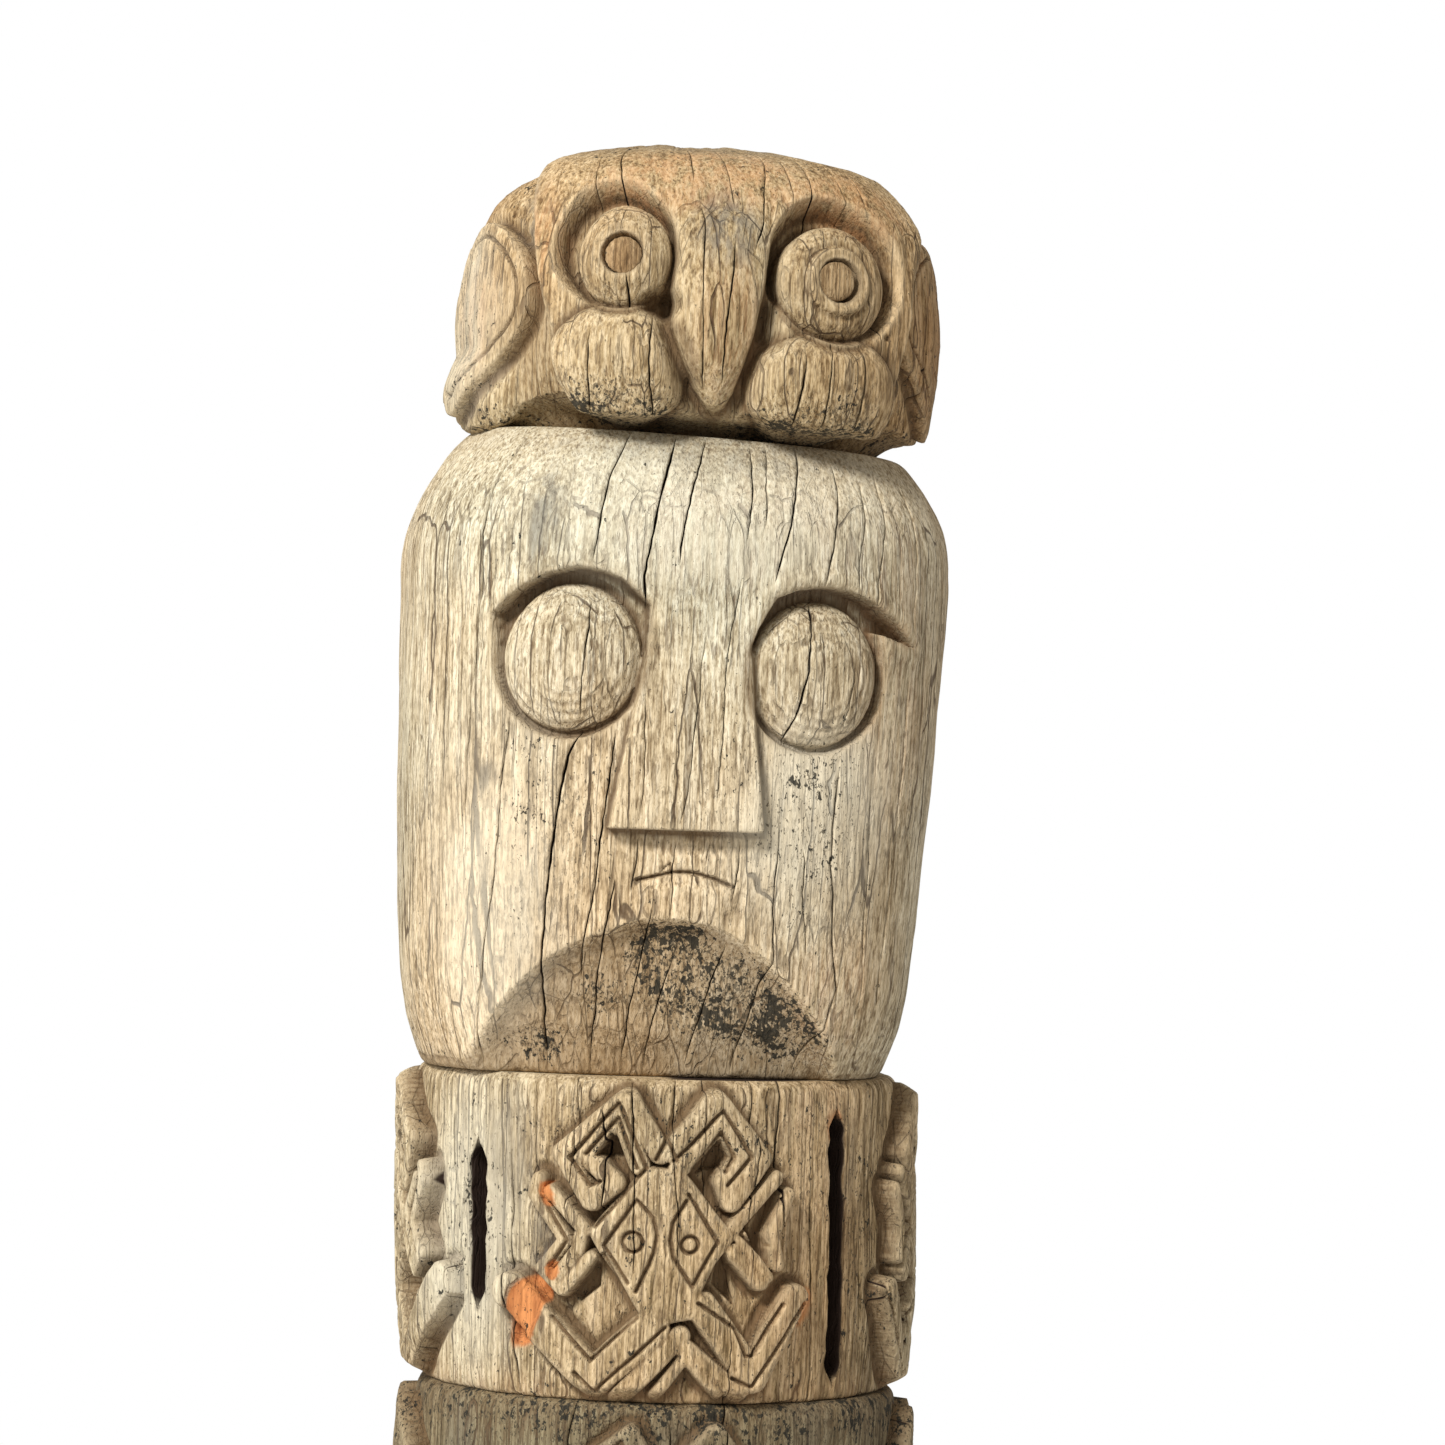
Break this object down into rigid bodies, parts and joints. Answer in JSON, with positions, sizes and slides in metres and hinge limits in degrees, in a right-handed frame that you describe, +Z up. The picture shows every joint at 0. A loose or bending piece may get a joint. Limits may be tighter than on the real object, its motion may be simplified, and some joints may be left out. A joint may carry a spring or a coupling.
{
  "type": "carved wooden pole figure",
  "caption": "Weathered carved pole figure: owl head over a long stylised face, on drums with framed hooked motifs, on a round foot.",
  "frame": {"origin": "middle of the foot plinth's flat underside, on the pole's axis", "axes": "+Z up along the pole, the carved face looks along -Y, +X is to the right of someone who faces it"},
  "size_m": [0.292, 0.292, 0.82],
  "materials": {
    "wood_foot": "weathered, darker, damp-stained hardwood",
    "wood_lower_drum": "weathered grey-tan hardwood with open grain",
    "wood_motif_drum": "weathered grey-beige hardwood with open grain",
    "wood_face": "sun-bleached straw-coloured hardwood with drying cracks",
    "wood_owl": "weathered tan hardwood with orange-brown patches",
    "wood_pupil": "weathered end-grain plug",
    "wood_dowel": "turned, unweathered hardwood dowel"
  },
  "bodies": {
    "root": {"foot_plinth": "wood_foot", "lower_drum": "wood_lower_drum", "motif_drum": "wood_motif_drum", "face_block": "wood_face", "owl_head": "wood_owl", "owl_pupil_left": "wood_pupil", "owl_pupil_right": "wood_pupil", "tenon_under_lower_drum": "wood_dowel", "tenon_under_motif_drum": "wood_dowel", "tenon_under_face": "wood_dowel", "tenon_under_owl": "wood_dowel", "pegs_under_lower_drum": "wood_dowel", "pegs_under_motif_drum": "wood_dowel", "pegs_under_face": "wood_dowel", "pegs_under_owl": "wood_dowel"}
  },
  "joints": []
}
